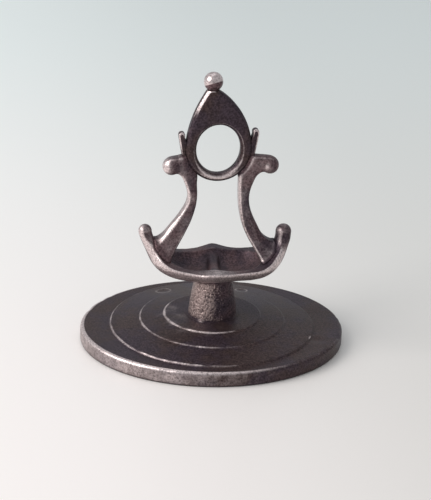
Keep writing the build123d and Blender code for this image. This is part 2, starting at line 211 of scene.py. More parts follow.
class SealShapeSettings(PropertyGroup):
    """Sizes of the worn surfaces that are laid over the solids."""

    cradle_grid: metres("Cradle grid", "Mesh spacing on the cradle", 0.1 * MM)
    arm_grid: metres("Arm grid", "Mesh spacing on arms, crest and neck", 0.08 * MM)
    leaf_grid: metres("Leaf grid", "Mesh spacing on leaves and ball", 0.055 * MM)
    rounding: metres("Rounding", "Reach of the rubbing that rounds the edges", 0.17 * MM)
    arm_rounding: metres("Arm rounding", "Reach of the rubbing on the upper arms", 0.34 * MM)
    unevenness: metres("Unevenness", "Height of the slow waves of hand work", 0.025 * MM)
    pit_depth: metres("Pit depth", "Depth of the cast pits on the neck", 0.06 * MM)
    rim_height: metres("Rim height", "Height of the plate's rim", 2.4 * MM)
    rim_round: metres("Rim round", "Rounding of the rim's upper edge", 0.55 * MM)
    foot_round: metres("Foot round", "Rounding of the rim's lower edge", 0.35 * MM)
    step_radii: FloatVectorProperty(
        name="Step radii", description="Radii of the three turned steps, from the neck outwards",
        default=(7.65 * MM, 11.5 * MM, 16.2 * MM), unit="LENGTH",
    )
    outer_riser: metres("Outer riser", "Height of the outer step", 0.3 * MM)
    step_riser: metres("Inner risers", "Height of the inner steps", 0.2 * MM)
    step_draft: metres("Step draft", "Lean of each step", 0.14 * MM)
    tread_slope: degrees("Tread slope", "Fall of the treads", 8.3)
    nick_depth: metres("Nick depth", "Depth of the knocks in the plate's rim", 0.1 * MM)
    nick_count: IntProperty(
        name="Nicks", description="Number of knocks in the plate's rim", default=26, min=0
    )
    dent_depth: metres("Dent depth", "Depth of the blank dents on the plate", 0.14 * MM)
    ring_radius: metres("Ring radius", "Radius of the crest's ring", 5.15 * MM)
    hole_size: FloatVectorProperty(
        name="Hole size", description="Width and height of the cord hole", size=2,
        default=(6.9 * MM, 7.8 * MM), unit="LENGTH",
    )
    die_depth: metres("Die depth", "Depth of the cut die", 0.4 * MM)
    border_inset: metres("Border inset", "From the rim to the die's border line", 2.15 * MM)
    border_width: metres("Border width", "Width of that line", 0.7 * MM)
    bead_ring: metres("Bead ring", "Radius of the ring of beads", 13.2 * MM)
    bead_radius: metres("Bead radius", "Radius of a bead", 0.65 * MM)
    bead_count: IntProperty(name="Beads", description="Number of beads", default=28, min=1)
    petal_ring: metres("Petal ring", "Radius of the petals' middles", 6.2 * MM)
    petal_size: FloatVectorProperty(
        name="Petal size", description="Length and width of a petal", size=2,
        default=(7.6 * MM, 2.6 * MM), unit="LENGTH",
    )
    petal_count: IntProperty(name="Petals", description="Number of petals", default=8, min=1)


class SealFinishSettings(PropertyGroup):
    """Colours and grain of the metal."""

    bright_silver: tint("Bright silver", "Metal that handling keeps clean", (0.82, 0.70, 0.69))
    cool_tarnish: tint("Cool tarnish", "Violet-grey tarnish", (0.043, 0.0305, 0.0395))
    warm_tarnish: tint("Warm tarnish", "Brown tarnish", (0.05, 0.0325, 0.0315))
    red_tarnish: tint("Red tarnish", "Thin red-brown tarnish of the handled parts", (0.096, 0.059, 0.063))
    cast_metal: tint("Cast metal", "Raw skin of the cast neck", (0.56, 0.43, 0.4))
    blotch_scale: FloatProperty(
        name="Blotch scale", description="Fineness of the blotches of tarnish", default=190.0
    )
    patch_scale: FloatProperty(
        name="Patch scale", description="Fineness of the patches of wear", default=620.0
    )
    grain_scale: FloatProperty(
        name="Grain scale", description="Fineness of the metal's grain", default=3400.0
    )


class SealStageSettings(PropertyGroup):
    """Table, light and camera."""

    view_distance: metres("View distance", "From the camera to the handle's middle", 0.26)
    view_height: metres("View height", "Height of the point that the camera circles", 0.02)
    view_azimuth: degrees("View azimuth", "Angle of the camera round the seal, from the front", -9.0)
    view_elevation: degrees("View elevation", "Angle of the camera over the table", 20.73)
    view_roll: degrees("View roll", "Turn of the camera about its own axis", 2.16)
    view_pan: degrees(
        "View pan", "Sideways turn that sets the seal off the middle of the picture", -0.0383
    )
    view_tilt: degrees(
        "View tilt", "Upward turn that sets the seal above the middle of the picture", -1.0059
    )
    lens: FloatProperty(name="Lens", description="Focal length", default=119.736, unit="CAMERA")
    near_table: tint("Near table", "Table colour close to the camera", (0.9, 0.85, 0.83))
    # Painted shade on the table away from the window
    shaded_table: tint(
        "Right of table", "Table colour close to the camera, away from the window", (0.8, 0.77, 0.74)
    )
    far_table: tint("Far table", "Table colour away from the camera", (0.78, 0.83, 0.82))
    sky: tint("Room light", "Colour of the even light of the room", (0.93, 0.97, 1.0))
    sky_strength: FloatProperty(
        name="Room light strength", description="Strength of the even light", default=0.5
    )
    window_power: FloatProperty(
        name="Window", description="Power of the window on the left", default=3.4, unit="POWER"
    )
    ceiling_power: FloatProperty(
        name="Ceiling", description="Power of the light overhead", default=0.5, unit="POWER"
    )


def shape():
    """Sizes of the worn surfaces, as set in the scene."""
    return bpy.context.scene.seal_shape


def finish():
    """Colours and grain of the metal, as set in the scene."""
    return bpy.context.scene.seal_finish


def stage():
    """Table, light and camera, as set in the scene."""
    return bpy.context.scene.seal_stage


def lattice_noise(points, cell, seed):
    """Smooth random values from -1 to 1, one for each point, on a lattice of the given cell."""
    scaled = points / cell + SEED_SHIFT * seed
    base = np.floor(scaled).astype(np.int64)
    part = scaled - base
    part = part * part * (3 - 2 * part)
    total = np.zeros(len(points))
    for corner in np.ndindex(2, 2, 2):
        key = (base + corner) @ LATTICE_KEYS + SEED_KEY * seed
        mixed = key.astype(np.uint64) * FIRST_SCATTER
        mixed ^= mixed >> np.uint64(29)
        mixed *= SECOND_SCATTER
        value = (mixed >> np.uint64(40)) / float(1 << 23) - 1.0
        weight = np.prod(np.where(corner, part, 1 - part), axis=1)
        total += weight * value
    return total


def soft_step(values, low, high):
    """Smooth climb from 0 at low to 1 at high."""
    share = np.clip((values - low) / (high - low), 0, 1)
    return share * share * (3 - 2 * share)


def bell(distance, reach):
    """A soft hump over a distance of about the given reach."""
    return np.exp(-((distance / reach) ** 2))


def places(mesh):
    """Vertex places of a mesh as an array."""
    flat = np.zeros(len(mesh.vertices) * 3, np.float32)
    mesh.vertices.foreach_get("co", flat)
    return flat.reshape(-1, 3).astype(float)


def normals(mesh):
    """Vertex normals of a mesh as an array."""
    flat = np.zeros(len(mesh.vertices) * 3, np.float32)
    mesh.vertex_normals.foreach_get("vector", flat)
    return flat.reshape(-1, 3).astype(float)


def set_places(mesh, points):
    """Moves the vertices of a mesh to the given places."""
    mesh.vertices.foreach_set("co", points.astype(np.float32).ravel())
    mesh.update()


def store(mesh, name, values):
    """Keeps one value for each vertex, for the finish to read."""
    attribute = mesh.attributes.get(name) or mesh.attributes.new(name, "FLOAT", "POINT")
    attribute.data.foreach_set("value", values.astype(np.float32))


def edge_pairs(mesh):
    """Vertex numbers at both ends of each edge."""
    flat = np.zeros(len(mesh.edges) * 2, np.int32)
    mesh.edges.foreach_get("vertices", flat)
    return flat.reshape(-1, 2)


def neighbour_mean(values, pairs):
    """Mean of the values of each vertex's neighbours."""
    count = np.bincount(pairs.ravel(), minlength=len(values))
    columns = []
    for column in values.reshape(len(values), -1).T:
        total = np.bincount(pairs[:, 0], column[pairs[:, 1]], len(values))
        total += np.bincount(pairs[:, 1], column[pairs[:, 0]], len(values))
        columns.append(total / np.maximum(count, 1))
    return np.stack(columns, -1).reshape(values.shape)


def rounded_places(mesh, grid, reach):
    """Places of a fine even mesh with its edges rubbed round over the given reach, and its girth kept."""
    pairs = edge_pairs(mesh)
    sharp = places(mesh)
    points = sharp.copy()
    passes = round(PASSES_PER_CELL * (reach / grid) ** 2)
    for _ in range(passes):
        points += PULL * (neighbour_mean(points, pairs) - points)
    lost = sharp - points
    for _ in range(GIRTH_PASSES * passes):
        lost += PULL * (neighbour_mean(lost, pairs) - lost)
    return points + lost


def mark_wear_and_light(mesh, grid, extra):
    """Stores how far each vertex stands out or lies in, for the wear, the painted highlights and the painted
    shade of the finish.
    """
    pairs = edge_pairs(mesh)
    points = places(mesh)
    facing = normals(mesh)
    bend = -NEIGHBOURS * np.sum((neighbour_mean(points, pairs) - points) * facing, axis=1) / grid**2
    for _ in range(BEND_PASSES):
        bend += BEND_PULL * (neighbour_mean(bend, pairs) - bend)
    edge = np.clip((bend * FULL_WEAR - ROUND_SHARE) / (1 - ROUND_SHARE), 0, 1)
    # Edges rubbed bright, with a painted highlight on those that face the window
    rubbed = edge**WEAR_POWER * (EVEN_WEAR - LEFT_HIGHLIGHT * facing[:, 0])
    if extra:
        rubbed += extra(points, facing)
    store(mesh, "stands_out", np.clip(rubbed, 0, 1))
    # Hollows: kept for the painted shade in corners and creases
    store(mesh, "lies_in", np.clip(-bend * FULL_SHADE, 0, 1))


def node_box(node):
    """Lowest and highest corner of a node's solid."""
    points = places(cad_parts[node].data)
    return points.min(axis=0), points.max(axis=0)


def new_piece(name, mesh, node, material):
    """Puts a mesh in the scene as the piece that stands for a node."""
    piece = bpy.data.objects.new(name, mesh)
    bpy.context.scene.collection.objects.link(piece)
    mesh.materials.clear()
    mesh.materials.append(material)
    mesh.shade_smooth()
    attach(piece, BODY)
    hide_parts(node)
    return piece


def fine_copy(node, grid):
    """A closed mesh of even small faces over a node's solid."""
    source = bpy.data.objects.new("fine_source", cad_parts[node].data.copy())
    bpy.context.scene.collection.objects.link(source)
    remesh = source.modifiers.new("even faces", "REMESH")
    remesh.mode = "VOXEL"
    remesh.voxel_size = grid
    graph = bpy.context.evaluated_depsgraph_get()
    mesh = bpy.data.meshes.new_from_object(source.evaluated_get(graph))
    old = source.data
    bpy.data.objects.remove(source)
    bpy.data.meshes.remove(old)
    if not mesh.polygons:
        raise RuntimeError(f"{node} gave no faces at a grid of {grid} m")
    return mesh


def joint_nearness(points, neighbours):
    """How near each point lies to the solids that are brazed to its piece, 1 at the joint."""
    nearness = np.zeros(len(points))
    for node, reach in neighbours.items():
        mesh = fine_copy(node, JOINT_GRID)
        tree = KDTree(len(mesh.vertices))
        for number, vertex in enumerate(mesh.vertices):
            tree.insert(vertex.co, number)
        tree.balance()
        low = places(mesh).min(axis=0) - MM
        high = places(mesh).max(axis=0) + MM
        close = np.flatnonzero(np.all((points > low) & (points < high), axis=1))
        distance = np.array([tree.find(points[number])[2] for number in close])
        nearness[close] = np.maximum(nearness[close], bell(distance, reach))
        bpy.data.meshes.remove(mesh)
    return nearness


def worn_piece(
    name, node, material, grid, seed, neighbours,
    braze=0.0, work=None, extra=None, reach=None, crisp_below=None,
):
    """A node's solid with rounded edges, brazed joints, slow waves, its wear marked and further work."""
    mesh = fine_copy(node, grid)
    points = rounded_places(mesh, grid, reach or shape().rounding)
    if crisp_below:
        share = soft_step(points[:, 2:], crisp_below, crisp_below + CRISP_BLEND)
        points = share * points + (1 - share) * rounded_places(mesh, grid, shape().rounding)
    set_places(mesh, points)
    joint = joint_nearness(points, neighbours)
    waves = lattice_noise(points, WAVE_CELL, seed)
    waves += RIPPLE_SHARE * lattice_noise(points, RIPPLE_CELL, seed + 1)
    lift = shape().unevenness * waves + braze * joint
    if work:
        lift += work(points)
    set_places(mesh, points + normals(mesh) * lift[:, None])
    mark_wear_and_light(mesh, grid, extra)
    store(mesh, "joint", joint)
    return new_piece(name, mesh, node, material)


def loop_mesh(name, rings):
    """A closed skin over rings of points, whose last ring joins the first."""
    number = np.arange(rings.shape[0] * rings.shape[1]).reshape(rings.shape[:2])
    below = np.roll(number, -1, axis=0)
    quads = np.stack([number, below, np.roll(below, -1, axis=1), np.roll(number, -1, axis=1)], -1)
    mesh = bpy.data.meshes.new(name)
    mesh.from_pydata(rings.reshape(-1, 3).tolist(), [], quads.reshape(-1, 4).tolist())
    return mesh


def ring_mesh(name, rings):
    """A closed skin over rings of points, with a middle point at both ends."""
    count, around = rings.shape[:2]
    points = np.concatenate([rings.reshape(-1, 3), rings[[0, -1]].mean(axis=1)])
    number = np.arange(count * around).reshape(count, around)
    following = np.roll(number, -1, axis=1)
    quads = np.stack([number[:-1], number[1:], following[1:], following[:-1]], -1).reshape(-1, 4)
    first = np.full(around, count * around)
    start = np.stack([first, number[0], following[0]], -1)
    end = np.stack([first + 1, following[-1], number[-1]], -1)
    mesh = bpy.data.meshes.new(name)
    mesh.from_pydata(points.tolist(), [], quads.tolist() + start.tolist() + end.tolist())
    return mesh


class Nodes:
    """Short calls that add shader nodes to one tree."""

    def __init__(self, tree):
        self.tree = tree

    def put(self, value, socket):
        """Links a socket, or sets a plain value on it."""
        if isinstance(value, bpy.types.NodeSocket):
            self.tree.links.new(value, socket)
        else:
            socket.default_value = value

    def add(self, kind, inputs=None, **settings):
        """A node of the given kind with its settings and inputs."""
        node = self.tree.nodes.new(kind)
        for key, value in settings.items():
            setattr(node, key, value)
        for key, value in (inputs or {}).items():
            self.put(value, node.inputs[key])
        return node

    def math(self, operation, first, second=0.0):
        """One sum, product or the like of two values."""
        return self.add("ShaderNodeMath", {0: first, 1: second}, operation=operation).outputs[0]

    def mix(self, factor, first, second, blend="MIX"):
        """A blend of two colours."""
        node = self.add("ShaderNodeMix", data_type="RGBA", blend_type=blend)
        sockets = {socket.identifier: socket for socket in node.inputs}
        self.put(factor, sockets["Factor_Float"])
        self.put(first, sockets["A_Color"])
        self.put(second, sockets["B_Color"])
        return next(socket for socket in node.outputs if socket.identifier == "Result_Color")

    def spread(self, value, low, high, out_low=0.0, out_high=1.0):
        """A smooth climb between two values."""
        inputs = {"Value": value, "From Min": low, "From Max": high, "To Min": out_low, "To Max": out_high}
        return self.add("ShaderNodeMapRange", inputs, interpolation_type="SMOOTHSTEP").outputs["Result"]

    def noise(self, place, scale, detail=3.0, rough=0.55):
        """Cloudy noise of the given fineness."""
        inputs = {"Vector": place, "Scale": scale, "Detail": detail, "Roughness": rough}
        return self.add("ShaderNodeTexNoise", inputs).outputs["Fac"]

    def stored(self, name):
        """A value that the mesh keeps for each vertex."""
        return self.add("ShaderNodeAttribute", attribute_name=name).outputs["Fac"]


def colour(rgb):
    """A colour with full cover."""
    return (*rgb, 1.0)


def new_group(name, inputs, outputs):
    """A shader node group with named sockets, and its input and output nodes."""
    tree = bpy.data.node_groups.new(name, "ShaderNodeTree")
    for key, kind, value in inputs:
        socket = tree.interface.new_socket(key, in_out="INPUT", socket_type=kind)
        socket.default_value = value
    for key, kind in outputs:
        tree.interface.new_socket(key, in_out="OUTPUT", socket_type=kind)
    return tree, tree.nodes.new("NodeGroupInput"), tree.nodes.new("NodeGroupOutput")


def turned_group():
    """Turned lines: fine uneven rings left by the lathe."""
    name = "Turned lines"
    if name in bpy.data.node_groups:
        return bpy.data.node_groups[name]
    tree, given, result = new_group(
        name, (("Fineness", "NodeSocketFloat", 5200.0),), (("Height", "NodeSocketFloat"),)
    )
    make = Nodes(tree)
    place = make.add("ShaderNodeTexCoord").outputs["Object"]
    level = make.add("ShaderNodeVectorMath", {0: place, 1: (1, 1, 0)}, operation="MULTIPLY").outputs[0]
    radius = make.add("ShaderNodeVectorMath", {0: level}, operation="LENGTH").outputs["Value"]
    lines = make.add(
        "ShaderNodeTexNoise",
        {"W": radius, "Scale": given.outputs["Fineness"], "Detail": 3.0, "Roughness": 0.7},
        noise_dimensions="1D",
    )
    tree.links.new(lines.outputs["Fac"], result.inputs["Height"])
    return tree


def tarnish_group():
    """Tarnish: blotches of two dark colours, rubbed bright where the metal stands out or a highlight is
    painted, with painted shade in corners.
    """
    name = "Tarnish"
    if name in bpy.data.node_groups:
        return bpy.data.node_groups[name]
    tree, given, result = new_group(
        name,
        (
            ("Bright", "NodeSocketColor", colour(finish().bright_silver)),
            ("Cool", "NodeSocketColor", colour(finish().cool_tarnish)),
            ("Warm", "NodeSocketColor", colour(finish().warm_tarnish)),
            ("Wear", "NodeSocketFloat", 1.0),
            ("Haze", "NodeSocketFloat", 0.0),
            ("Openness", "NodeSocketFloat", 1.0),
        ),
        (
            ("Color", "NodeSocketColor"),
            ("Roughness", "NodeSocketFloat"),
            ("Metal", "NodeSocketFloat"),
            ("Height", "NodeSocketFloat"),
        ),
    )
    make = Nodes(tree)
    place = make.add("ShaderNodeTexCoord").outputs["Object"]
    opened = given.outputs["Openness"]
    blotch = make.noise(place, finish().blotch_scale, 4.0)
    patch = make.noise(place, finish().patch_scale, 4.0, 0.6)
    grain = make.noise(place, finish().grain_scale, 4.0, 0.7)

    # Dark skin: two colours in blotches, made deep and pale by the grain
    dark = make.mix(make.spread(blotch, 0.38, 0.62), given.outputs["Cool"], given.outputs["Warm"])
    pale = make.mix(1.0, dark, dark, "ADD")
    deep = make.mix(1.0, dark, DEEP_TINT, "MULTIPLY")
    dark = make.mix(make.spread(grain, 0.3, 0.7), deep, pale)

    # Rubbing and painted highlights: strongest where the metal stands out, less in shaded corners and at
    # joints
    rub = make.math("MULTIPLY", make.stored("stands_out"), given.outputs["Wear"])
    rub = make.math("ADD", rub, make.math("MULTIPLY", make.math("SUBTRACT", patch, 0.5), 0.45))
    rub = make.math("ADD", rub, given.outputs["Haze"])
    rub = make.spread(rub, 0.2, 0.85)
    rub = make.math("MULTIPLY", rub, make.spread(grain, 0.3, 0.6, 0.35, 1.0))
    rub = make.math("MULTIPLY", rub, make.spread(opened, 0.3, 0.8))
    rub = make.math("MULTIPLY", rub, make.spread(make.stored("joint"), 0.1, 0.7, 1.0, 0.0))
    skin = make.mix(rub, dark, given.outputs["Bright"])

    # Painted shade in the corners and hollows, from the ambient occlusion and the hollows' bend
    painted_shade = make.mix(1.0, dark, CORNER_SHADE_TINT, "MULTIPLY")
    closed = make.spread(opened, 0.6, 0.1, 0.0, 0.85)
    shade_share = make.math("MAXIMUM", make.math("MULTIPLY", make.stored("lies_in"), 0.6), closed)
    skin = make.mix(shade_share, skin, painted_shade)

    grain_step = make.math("MULTIPLY", make.math("SUBTRACT", grain, 0.5), 0.25)
    rough = make.math("ADD", make.spread(rub, 0.0, 1.0, 0.46, 0.36), grain_step)
    height = make.math("ADD", grain, make.math("MULTIPLY", patch, 0.6))
    tree.links.new(skin, result.inputs["Color"])
    tree.links.new(rough, result.inputs["Roughness"])
    tree.links.new(make.spread(rub, 0.0, 0.8, 0.5, 0.8), result.inputs["Metal"])
    tree.links.new(height, result.inputs["Height"])
    return tree


def silver_material(name, wear=1.0, haze=0.0, relief=0.02 * MM, bright=None, warm=None, dullness=1.0):
    """Tarnished silver with its own wear, haze and depth of grain, and painted shade in corners."""
    material = bpy.data.materials.new(name)
    material.use_nodes = True
    make = Nodes(material.node_tree)
    shader = material.node_tree.nodes["Principled BSDF"]
    shader.inputs["Specular IOR Level"].default_value = 0.25
    # Ambient occlusion: how open each spot is, for the painted shade in corners
    opened = make.add("ShaderNodeAmbientOcclusion", {"Distance": SHADE_REACH}, samples=8).outputs["AO"]
    given = {"Wear": wear, "Haze": haze, "Openness": opened}
    if bright:
        given["Bright"] = colour(bright)
    if warm:
        given["Warm"] = colour(warm)
    tarnish = make.add("ShaderNodeGroup", given, node_tree=tarnish_group()).outputs
    bump = make.add("ShaderNodeBump", {"Height": tarnish["Height"], "Strength": 0.6, "Distance": relief})
    make.put(tarnish["Color"], shader.inputs["Base Color"])
    make.put(make.math("MULTIPLY", tarnish["Roughness"], dullness), shader.inputs["Roughness"])
    make.put(tarnish["Metal"], shader.inputs["Metallic"])
    make.put(bump.outputs["Normal"], shader.inputs["Normal"])
    return material


def plate_material():
    """Tarnished silver with the lathe's lines."""
    material = silver_material("plate_silver", relief=0.07 * MM, dullness=0.88)
    make = Nodes(material.node_tree)
    lines = make.add("ShaderNodeGroup", node_tree=turned_group()).outputs["Height"]
    ridges = make.add("ShaderNodeBump", {"Height": lines, "Strength": 0.5, "Distance": LATHE_LINE_DEPTH})
    make.put(ridges.outputs["Normal"], material.node_tree.nodes["Bump"].inputs["Normal"])
    return material


class SEAL_OT_plate(Operator):
    """Build the stepped oval plate with its cut die"""

    bl_idname = "seal.plate"
    bl_label = "Plate"

    def execute(self, context):
        low, high = node_box("seal_plate")
        half = np.minimum(high, -low)[:2]
        turn = np.linspace(0, 2 * np.pi, AROUND, endpoint=False)
        way = np.stack([np.cos(turn), np.sin(turn)], -1)
        profile = self.top_profile(way) + self.rim_profile(way, half) + self.face_profile(way, half)
        rings = np.array([np.column_stack([place, np.full(AROUND, z)]) for place, z, _ in profile])
        wear = self.plate_wear_and_light(rings, way, [value for _, _, value in profile])
        under = rings[..., 2] <= 1e-9
        rings[..., 2] += np.where(under, self.die_relief(rings[..., 0], rings[..., 1], half), 0)
        mesh = ring_mesh("plate_worn", self.knock(rings, half))
        store(mesh, "stands_out", np.append(wear.ravel(), (0, 0)))
        new_piece("plate_worn", mesh, "seal_plate", plate_material())
        return {"FINISHED"}

    def tread_heights(self, radii):
        """Height of the turned top at each radius, with softened steps."""
        size = shape()
        slope = np.tan(size.tread_slope)
        inner, middle, outer = size.step_radii
        outer_top = size.rim_height + size.outer_riser
        middle_foot = outer_top + (outer - middle) * slope
        inner_foot = middle_foot + size.step_riser + (middle - inner) * slope
        corners = (
            (inner, inner_foot + size.step_riser),
            (inner + size.step_draft, inner_foot),
            (middle, middle_foot + size.step_riser),
            (middle + size.step_draft, middle_foot),
            (outer, outer_top),
            (outer + size.step_draft, size.rim_height),
        )
        spread = np.linspace(-1, 1, BLUR_SAMPLES)
        share = bell(spread, 0.5)
        share /= share.sum()
        return sum(w * np.interp(radii + o * TREAD_BLUR, *zip(*corners)) for o, w in zip(spread, share))

    def step_wear(self, radius):
        """Wear on the top edges of the turned steps."""
        return max(STEP_WEAR * bell(radius - edge, STEP_WEAR_REACH) for edge in shape().step_radii)

    def top_profile(self, way):
        """Rings over the socket's floor and the turned treads: places, height and wear of each."""
        steps = shape().step_radii
        near = [np.linspace(r - STEP_BEFORE, r + STEP_AFTER, STEP_RINGS) for r in steps]
        even = np.linspace(SOCKET_RADIUS, steps[2] + BRIM_START, TREAD_RINGS)
        radii = np.unique(np.concatenate([even, *near]))
        profile = [(share * SOCKET_RADIUS * way, SOCKET_FLOOR, 0) for share in (0.5, 1)]
        for radius, height in zip(radii, self.tread_heights(radii)):
            profile.append((radius * way, height, self.step_wear(radius)))
        return profile

    def rim_profile(self, way, half):
        """Rings over the flat brim, the rim's upper edge and its side."""
        size = shape()
        edge = half - size.rim_round
        start = size.step_radii[2] + BRIM_START
        profile = []
        for share in np.linspace(0, 1, BRIM_RINGS)[1:]:
            place = (1 - share) * start * way + share * edge * way
            profile.append((place, size.rim_height, BRIM_WEAR * bell(1 - share, 0.03)))
        for angle in RIM_ANGLES:
            place = (edge + size.rim_round * np.sin(angle)) * way
            bared = RIM_WEAR + BRIM_WEAR * bell(angle - 0.5, 0.45)
            profile.append((place, size.rim_height - size.rim_round * (1 - np.cos(angle)), bared))
        for share in np.linspace(0, 1, SIDE_RINGS)[1:]:
            drop = share * (size.rim_height - size.rim_round - size.foot_round)
            profile.append((half * way, size.rim_height - size.rim_round - drop, RIM_WEAR))
        return profile

    def face_profile(self, way, half):
        """Rings over the rim's lower edge and the flat face under the plate."""
        size = shape()
        profile = []
        for angle in FOOT_ANGLES:
            place = (half - size.foot_round * (1 - np.cos(angle))) * way
            profile.append((place, size.foot_round * (1 - np.sin(angle)), RIM_WEAR))
        for share in np.linspace(1, INNERMOST, FACE_RINGS)[1:]:
            profile.append((share * (half - size.foot_round) * way, 0, FACE_WEAR))
        return profile

    def plate_wear_and_light(self, rings, way, values):
        """Wear of each point: rubbed most on the left with a painted highlight on that lit side, broken on
        the treads, a painted sheen round the neck, bright round the dents.
        """
        size = shape()
        wear = np.outer(values, np.ones(AROUND))
        # Painted highlight: more brightness on the side towards the window, less on the side away from it
        wear *= LEAST_WEAR + ADDED_WEAR_AND_HIGHLIGHT * np.clip(0.3 - way @ DARK_WAY, 0, 1)
        spots = rings.reshape(-1, 3)
        broken = 0.5 * lattice_noise(spots, 1.1 * MM, 4) + 0.6 * lattice_noise(spots, 4.5 * MM, 6) - 0.1
        on_top = rings[..., 2] > size.rim_height + 0.5 * size.outer_riser
        wear *= 1 + broken.reshape(wear.shape) * on_top
        radius = np.hypot(rings[..., 0], rings[..., 1])
        # Painted sheen on the treads round the neck, on the left front towards the window
        sheen = soft_step(-radius, -size.step_radii[1], -0.6 * size.step_radii[1])
        sheen *= soft_step(way @ SHEEN_WAY, -0.3, 0.8)
        patches = 0.6 + 0.4 * lattice_noise(spots, 1.7 * MM, 8).reshape(wear.shape)
        wear += SHEEN * sheen * patches * on_top
        for x, y, reach in DENTS:
            away = np.hypot(rings[..., 0] - x, rings[..., 1] - y)
            wear += DENT_WEAR * bell(away - 1.2 * reach, DENT_EDGE) * on_top
        return wear

    def die_relief(self, x, y, half):
        """Depth of the die over its face: border line, ring of beads and plain rosette."""
        size = shape()
        radius = np.hypot(x, y)
        angle = np.arctan2(y, x)
        oval = np.hypot(x / half[0], y / half[1])
        inset = (1 - oval) * radius / np.maximum(oval, 1e-6)
        off_line = abs(inset - size.border_inset) / (size.border_width / 2)
        border = np.clip(LINE_SLOPE * (1 - off_line), 0, 1)
        along, across = self.repeated(radius, angle, size.bead_count)
        bead = ((along - size.bead_ring) ** 2 + across**2) / size.bead_radius**2
        along, across = self.repeated(radius, angle, size.petal_count)
        length, width = size.petal_size
        petal = ((along - size.petal_ring) / (length / 2)) ** 2 + (across / (width / 2)) ** 2
        hollows = np.clip(HOLLOW_SLOPE * (1 - np.minimum(bead, petal)), 0, 1)
        return size.die_depth * np.maximum(border, hollows)

    def repeated(self, radius, angle, count):
        """Places along and across the nearest of a count of even spokes."""
        turn = 2 * np.pi / count
        aside = (angle + turn / 2) % turn - turn / 2
        return radius * np.cos(aside), radius * np.sin(aside)

    def knock(self, rings, half):
        """Adds slow waves, knocks along the rim and blank dents on the top."""
        size = shape()
        luck = np.random.default_rng(NICK_SEED)
        points = rings.reshape(-1, 3).copy()
        oval = np.hypot(points[:, 0] / half[0], points[:, 1] / half[1])
        top = points[:, 2] > 0.5 * MM
        drop = np.zeros(len(points))
        for _ in range(size.nick_count):
            turn = luck.uniform(0, 2 * np.pi)
            spot = np.array([half[0] * np.cos(turn), half[1] * np.sin(turn), size.rim_height])
            distance = np.linalg.norm(points - spot, axis=1)
            drop += luck.uniform(*NICK_STRENGTH) * bell(distance, luck.uniform(*NICK_REACH) * MM)
        middle = np.column_stack([points[:, :2] * 0.9, np.full(len(points), size.rim_height / 2)])
        inward = middle - points
        inward /= np.linalg.norm(inward, axis=1)[:, None]
        points += np.where(top, size.nick_depth * np.minimum(drop, NICK_LIMIT), 0)[:, None] * inward
        dents = np.zeros(len(points))
        for x, y, reach in DENTS:
            dents += bell(np.hypot(points[:, 0] - x, points[:, 1] - y), reach)
        inner = top & (oval < WAVY_PART)
        waves = 0.5 * size.unevenness * lattice_noise(points, 3.0 * MM, 3)
        points[:, 2] += np.where(inner, waves - size.dent_depth * dents, 0)
        return points.reshape(rings.shape)


class SEAL_OT_neck(Operator):
    """Build the cast neck and the solder at its foot"""

    bl_idname = "seal.neck"
    bl_label = "Neck and solder"

    def execute(self, context):
        cast = silver_material(
            "neck_cast", wear=0.75, relief=0.06 * MM,
            bright=finish().cast_metal, warm=finish().red_tarnish,
        )
        worn_piece(
            "neck_worn", "neck", cast, shape().arm_grid, 11,
            {"cradle": JOINT_REACH}, work=self.pits, extra=self.bared_and_lit_side,
        )
        solder = silver_material("solder_grey", wear=0.9, relief=0.04 * MM)
        rings = self.solder_rings()
        mesh = loop_mesh("solder_worn", rings)
        store(mesh, "stands_out", DROP_WEAR * self.drop(rings.reshape(-1, 3)))
        new_piece("solder_worn", mesh, "neck_solder_bead", solder)
        return {"FINISHED"}

    def solder_rings(self):
        """Rings of points over the solder, which thins out to an uneven edge on the plate."""
        low, high = node_box("neck_solder_bead")
        turn = np.linspace(0, 2 * np.pi, SOLDER_AROUND, endpoint=False)
        way = np.stack([np.cos(turn), np.sin(turn), np.zeros(SOLDER_AROUND)], -1)
        inner = high[0] - SOLDER_WIDTH
        flow = lattice_noise(way * high[0], 2.2 * MM, 12)
        flow += 0.5 * lattice_noise(way * high[0], 0.8 * MM, 15)
        outer = high[0] - (EDGE_SHORT - EDGE_SWING * np.clip(flow, -1, 1)) * MM
        rise = high[2] - low[2]
        rings = []
        for share in np.linspace(0, 1, SOLDER_RINGS):
            radius = inner + (outer - inner) * share
            rings.append(way * radius[:, None] + (0, 0, low[2] + rise * (1 - share) ** SOLDER_FALL))
        rings.append(way * inner + (0, 0, low[2]))
        rings = np.array(rings)
        lift = DROP_HEIGHT * self.drop(rings.reshape(-1, 3)).reshape(rings.shape[:2])
        inside = np.linalg.norm(rings[..., :2], axis=2) < high[0] - EDGE_MARGIN
        rings[:-1, :, 2] = np.minimum(rings[:-1, :, 2] + (lift * inside)[:-1], high[2])
        return rings

    def drop(self, points):
        """A drop of solder on the foot's left front."""
        return bell(np.linalg.norm(points - DROP, axis=1), DROP_REACH)

    def bared_and_lit_side(self, points, facing):
        """The raw cast skin shows on the left, with a painted highlight on faces towards the window and
        painted shade on faces to the right.
        """
        patches = 0.2 * lattice_noise(points, 0.5 * MM, 16) + 0.25 * lattice_noise(points, 1.4 * MM, 17)
        # Raw skin and painted highlight on faces towards the window; painted shade on faces to the right
        bared = soft_step(-facing[:, 0] + patches, -0.6, 0.7)
        return 0.95 * bared - 0.3 * soft_step(facing[:, 0], 0.2, 0.7)

    def pits(self, points):
        """Pits and lumps of the casting."""
        coarse = lattice_noise(points, 0.5 * MM, 13)
        fine = lattice_noise(points, 0.2 * MM, 14)
        return -shape().pit_depth * np.clip(0.8 * coarse + 0.9 * fine + 0.1, -0.3, 1)


